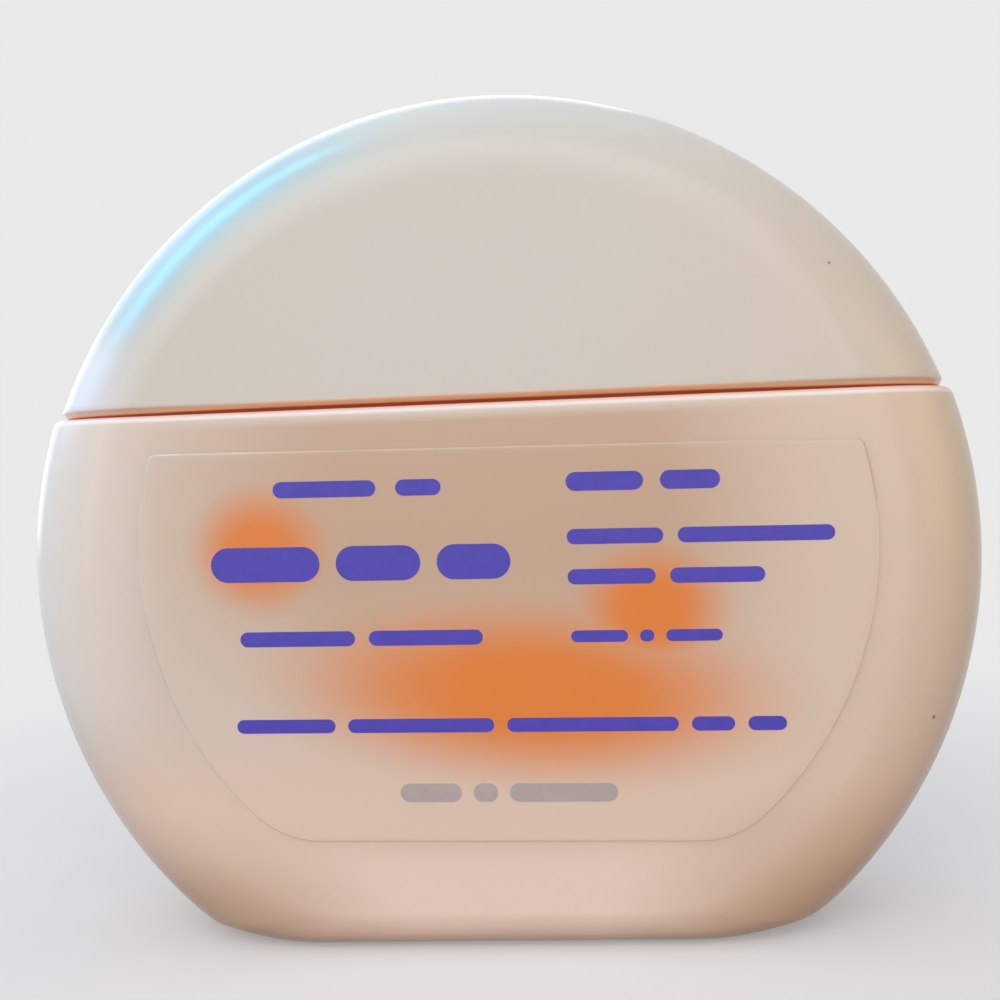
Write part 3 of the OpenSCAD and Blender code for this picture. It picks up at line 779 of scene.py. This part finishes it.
def milky_colour(t, shift=0):
    """The cream plastic, with the filling showing through as a deeper tone and soft glows on the front, and
    painted light and shade on its sides, lower corners and shoulder.
    """
    def tone(rgb):
        return linear(*(c + shift for c in rgb))

    slow = t.patches(scale=30.0)
    filling = t.times(t.fade(t.reach_from(*FILLING_MIDDLE), *FILLING_REACH),
                      t.fade(t.z, *FILLING_RISE, FILLING_LEAST, 1.0), t.fade(t.z, *FILLING_TOP))
    wisps = t.patches(150.0, 3.0, low=0.25, high=0.75, to_low=0.94)
    glow = t.times(glow_share(t, GLOW_SOFT), t.region(**FRONT), wisps)
    return t.layers(
        t.mix(slow, *map(tone, CREAM)),
        (t.region(**LOW_BAND), tone(LOW_TONE)),
        (t.region(**FOOT_BAND), tone(FOOT_TONE)),
        (filling, t.mix(slow, *map(tone, FILLING))),
        # Painted light: paler along the left side, warmer and yellower along the right, with painted shade at
        # the right edge
        (t.region(**PAINTED_LEFT_LIGHT), tone(PAINTED_LEFT_LIGHT_TONE)),
        (t.region(**PAINTED_RIGHT_LIGHT), tone(PAINTED_RIGHT_LIGHT_TONE)),
        (t.region(**PAINTED_RIGHT_SHADE), tone(PAINTED_RIGHT_SHADE_TONE)),
        # Painted highlight where the shoulder's edge catches the most light, and painted warm light on its
        # top from the groove above
        (t.region(**SHOULDER_HIGHLIGHT), tone(SHOULDER_HIGHLIGHT_TONE)),
        (t.region(**SHOULDER_TOP_WARM_LIGHT), tone(SHOULDER_TOP_WARM_LIGHT_TONE)),
        # Painted shade at the two lower corners
        *((t.spot(*corner), tone(CORNER_SHADE_TONE)) for corner in PAINTED_CORNER_SHADES),
        (glow, linear(*ORANGE_GLOW)))


def body_plastic():
    t = Material("body_plastic", Subsurface_Weight=0.22, Subsurface_Radius=(1.0, 0.62, 0.42),
                 Subsurface_Scale=0.0035, Specular_IOR_Level=0.5, IOR=1.5)
    # Where the halves of the mould met, a hair's breadth of a line runs round the side
    seam = t.fade(t.math("ABSOLUTE", t.y), *SEAM, 1.0, 0.0)
    return t.finish(t.speck(milky_colour(t), *BODY_SPECK), t.patches(scale=120.0, to_low=0.23, to_high=0.26),
                    t.grain(t.bump(seam, depth=0.04, strength=0.6)))


def cap_plastic():
    t = Material("cap_plastic", Subsurface_Weight=0.18, Subsurface_Radius=(1.0, 0.7, 0.5),
                 Subsurface_Scale=0.003, Specular_IOR_Level=0.5, IOR=1.5)
    # Painted cool light along the rounding at the upper left, painted light at the lower left end, and
    # painted warm light on the right
    reach = t.reach_from(0, DOME_Z)
    cool_light = t.times(*(t.fade(reach, *(DOME_R - depth for depth in ring)) for ring in (COOL_LIGHT_INNER, COOL_LIGHT_OUTER)),
                   t.region(**CAP_COOL_LIGHT))
    # Painted warm light, standing for light from the orange filling, on the bevel and the rim, and painted
    # shade in the groove, in bands that lie lower towards their ends
    drop = t.fade(t.math("ABSOLUTE", t.x), *BAND_ENDS, 0.0, BAND_DROP*MM)
    height = t.math("ADD", t.z, drop)
    shade_height = t.math("ADD", t.z, t.times(drop, SHADE_DROP_SHARE))
    bands = ((height, WARM_LIGHT_BAND, WARM_LIGHT_TONE), (height, DEEP_WARM_LIGHT_BAND, DEEP_WARM_LIGHT_TONE),
             (shade_height, GROOVE_SHADE_BAND, GROOVE_SHADE_TONE))
    colour = t.layers(
        t.mix(t.patches(scale=26.0), *(linear(*rgb) for rgb in BONE)),
        (t.region(**CAP_RIGHT_WARM_LIGHT), linear(*CAP_RIGHT_WARM_LIGHT_TONE)),
        (cool_light, linear(*CAP_COOL_LIGHT_TONE)),
        (t.region(**CAP_LOW_LEFT_LIGHT), linear(*CAP_LOW_LEFT_LIGHT_TONE)),
        *((t.fade(z, *(RIM_Z + end for end in band)), linear(*rgb)) for z, band, rgb in bands))
    return t.finish(t.speck(colour, *CAP_SPECK), t.patches(scale=120.0, to_low=0.24, to_high=0.26))


def film_face():
    t = Material("film_face", Specular_IOR_Level=0.45, IOR=1.5)
    return t.finish(milky_colour(t, FILM_SHIFT), t.patches(scale=500.0, to_low=0.34, to_high=0.38))


def film_edge():
    """Painted highlight and shade on the edge: the upper edge is painted darker but for its left end, which
    shines, and the right and lower edges are painted paler so that they hardly show.
    """
    t = Material("film_edge", Specular_IOR_Level=0.6, IOR=1.5)
    fleck = t.patches(scale=500.0, low=0.40, high=0.65)
    colour = t.layers(
        t.mix(fleck, *(linear(*rgb) for rgb in EDGE_TONES)),
        (t.region(**UPPER_EDGE_SHADE), linear(*UPPER_EDGE_SHADE_TONE)),
        (t.region(**RIGHT_EDGE_LIGHT), linear(*RIGHT_EDGE_LIGHT_TONE)),
        (t.region(**LOW_EDGE_LIGHT), linear(*LOW_EDGE_LIGHT_TONE)))
    return t.finish(colour, t.span(fleck, 0.0, 1.0, to_low=0.36, to_high=0.28))


def back_film_face():
    t = Material("back_film_face", Specular_IOR_Level=0.45, IOR=1.5)
    cover = t.patches(scale=1500.0, low=0.2, high=0.8, to_low=0.9)
    share = t.times(glow_share(t, PRINT_SOFT), cover)
    colour = t.mix(share, milky_colour(t, FILM_SHIFT), linear(*ORANGE_PRINT))
    return t.finish(colour, t.patches(scale=500.0, detail=3.0, to_low=0.3, to_high=0.38))


def two_tone(t, patch, pale, deep, rough_low, rough_high):
    """Colour and roughness that wander together between two values."""
    colour = t.mix(patch, linear(*pale), linear(*deep))
    return t.finish(colour, t.span(patch, 0.0, 1.0, rough_low, rough_high))


def ink(name, rgb, darker):
    t = Material(name, Specular_IOR_Level=0.4)
    return two_tone(t, t.patches(scale=700.0), rgb, darker, rough_low=0.43, rough_high=0.46)


def plain_plastic(name, pale, deep, rough_low, rough_high, scale):
    t = Material(name, Subsurface_Weight=0.1, Subsurface_Radius=(1.0, 0.8, 0.6), Subsurface_Scale=0.002)
    return two_tone(t, t.patches(scale, detail=3.0), pale, deep, rough_low, rough_high)


def foam():
    t = Material("seal_foam", Specular_IOR_Level=0.3)
    cells = t.node("TexVoronoi", Vector=t.position, Scale=4500.0).outputs["Distance"]
    wall = t.span(cells, 0.1, 0.6)
    roughness = t.span(cells, 0.1, 0.6, to_low=0.85, to_high=0.65)
    colour = t.mix(wall, linear(228, 227, 222), linear(243, 242, 238))
    return t.finish(colour, roughness, t.bump(cells, depth=0.06, strength=0.7))


# The object

body_material = body_plastic()
film_material, edge_material = film_face(), film_edge()
blue = ink("print_blue", (76, 64, 172), (72, 60, 167))
grey = ink("print_grey", (176, 164, 158), (171, 159, 154))

build_bottle(body_material)
build_neck(body_material)
build_plug(plain_plastic("plug_plastic", pale=(236, 232, 224), deep=(226, 221, 212), rough_low=0.35,
                         rough_high=0.45, scale=300.0))
build_seal(foam())
build_cap(cap_plastic())
sleeve_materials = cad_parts["cap_sleeve"].data.materials
sleeve_materials.clear()
sleeve_materials.append(plain_plastic("sleeve_plastic", pale=(226, 218, 204), deep=(216, 207, 192),
                                      rough_low=0.32, rough_high=0.42, scale=260.0))

build_film("front_film", on_front, -1, [film_material, edge_material], "front_label")
build_film("back_film", on_back, 1, [back_film_face(), edge_material], "back_label")
build_marks("front_marks", FRONT_ROWS, on_front, -1, blue)
build_marks("front_grey_marks", GREY_ROWS, on_front, -1, grey)
build_marks("back_marks", back_rows(), on_back, 1, blue)


# Floor, room and lamps

WHITE = (0.82, 0.82, 0.82, 1)
FLOOR_R, FLOOR_Z = 2500, -0.02
# The floor as it is seen, and as it lights the bottle from below
FLOOR_PALE, FLOOR_BOUNCE = ((0.93, 0.90, 0.86, 1), (0.95, 0.92, 0.88, 1)), (142, 108, 90)
# Distances between which the floor turns into the backdrop, and the share of it nearest the bottle
FLOOR_TURN, FLOOR_TURN_LEAST = (30, 170), 0.30
# The way to the room's cool side, the places along it where all is warm and where all is cool, and the lights
ROOM_COOL_WAY, ROOM_WARM_END, ROOM_COOL_END = (-0.40, -0.30, 0.87), -0.8, 0.9
ROOM_WARM, ROOM_COOL = (0.15, 0.10, 0.08, 1), (0.58, 0.66, 0.78, 1)


def floor_material():
    """Pale matt floor that turns into the plain backdrop away from the bottle."""
    t = Material("floor", Specular_IOR_Level=0.1)
    patch = t.patches(scale=60.0, detail=4.0)
    seen = t.seen_directly()
    t.set(t.shader, "Base Color", t.mix(seen, linear(*FLOOR_BOUNCE), t.mix(patch, *FLOOR_PALE)))
    t.set(t.shader, "Roughness", t.span(patch, 0.0, 1.0, to_low=0.85, to_high=0.95))
    away = t.fade(t.vector("LENGTH", t.position)[1], *FLOOR_TURN, FLOOR_TURN_LEAST, 1.0)
    glow = t.node("Emission", Color=WHITE, Strength=1.0)
    mixer = t.node("MixShader", i0=t.times(away, seen), i1=t.shader.outputs[0], i2=glow.outputs[0])
    t.set(t.tree.nodes["Material Output"], "Surface", mixer.outputs[0])
    return t.material


def build_floor():
    shape = Shape()
    shape.face(shape.add(circle(FLOOR_R, FLOOR_Z)))
    return link("floor", mesh_of("floor", shape, [floor_material()]))


floor = build_floor()


def build_world():
    """A soft room: cooler and brighter from the upper left, warmer and dimmer from the lower right."""
    world = bpy.data.worlds.new("studio")
    world.use_nodes = True
    w = Nodes(world.node_tree)
    w.tree.nodes.clear()
    along = w.vector("DOT_PRODUCT", w.node("TexCoord").outputs["Generated"], ROOM_COOL_WAY)[1]
    ramp = w.node("MapRange", Value=along, From_Min=ROOM_WARM_END, From_Max=ROOM_COOL_END).outputs[0]
    room = w.node("Background", Color=w.mix(ramp, ROOM_WARM, ROOM_COOL))
    backdrop = w.node("Background", Color=WHITE)
    mixer = w.node("MixShader", i0=w.seen_directly(), i1=room.outputs[0], i2=backdrop.outputs[0])
    w.node("OutputWorld", Surface=mixer.outputs[0])
    bpy.context.scene.world = world


build_world()

# The tinted lamps colour the bottle's rims and leave the floor neutral
neutral = bpy.data.collections.new("neutral")
neutral.objects.link(floor)
neutral.collection_objects[0].light_linking.link_state = "EXCLUDE"

MIDDLE = (0, 0, 0.038)
UPPER_LEFT_RIM = (-0.022, -0.009, 0.065)
# Name, place and aim in metres, two sizes, power, colour, tinted
LAMPS = (
    ("key", (-0.12, -0.85, 0.34), MIDDLE, 1.3, 1.1, 8.0, (1.0, 0.955, 0.90), False),
    ("window", (-0.70, -0.14, 0.48), MIDDLE, 0.60, 0.60, 2.0, (0.50, 0.70, 1.0), True),
    ("sky", (-0.43, -0.11, 0.50), UPPER_LEFT_RIM, 0.16, 0.42, 1.9, (0.0, 0.56, 1.0), True),
    ("fill", (0.60, -0.42, 0.18), MIDDLE, 0.5, 0.4, 0.7, (1.0, 0.66, 0.34), True),
    ("behind", (-0.50, 0.85, 0.42), MIDDLE, 1.4, 1.1, 5.2, (1.0, 0.91, 0.91), True),
)

for name, place, aim, size, size_y, power, colour, tinted in LAMPS:
    data = bpy.data.lights.new(name, "AREA")
    data.shape = "RECTANGLE"
    data.size, data.size_y, data.energy, data.color = size, size_y, power, colour
    lamp = link(name, data)
    lamp.location = place
    lamp.rotation_euler = (Vector(aim) - Vector(place)).to_track_quat("-Z", "Y").to_euler()
    if tinted:
        lamp.light_linking.receiver_collection = neutral


# Camera

# It stands where the photo's outline, groove and label fit it best, with its focal length in pixels of a
# picture of this width, and its sensor's width in Blender's millimetres
PICTURE_W, SENSOR_W = 1000, 36
FOCAL, DIST, CAM_X, CAM_Z = 1214.6, 112.8, 8.36, 42.23
YAW, PITCH, ROLL = math.radians(4.16), math.radians(-1.76), math.radians(-2.13)

forward = Vector((-math.sin(YAW)*math.cos(PITCH), math.cos(YAW)*math.cos(PITCH), math.sin(PITCH)))
level_right = Vector((math.cos(YAW), math.sin(YAW), 0))
level_up = level_right.cross(forward)
right = level_right*math.cos(ROLL) + level_up*math.sin(ROLL)
up = level_up*math.cos(ROLL) - level_right*math.sin(ROLL)
camera = link("camera", bpy.data.cameras.new("camera"))
camera.data.sensor_width = SENSOR_W
camera.data.lens = SENSOR_W*FOCAL/PICTURE_W
camera.data.clip_start = 0.005
camera.data.clip_end = 20
axes = Matrix((right, up, -forward)).transposed()
camera.matrix_world = Matrix.Translation((CAM_X*MM, -DIST*MM, CAM_Z*MM)) @ axes.to_4x4()
bpy.context.scene.camera = camera

bpy.context.scene.view_settings.view_transform = "Standard"
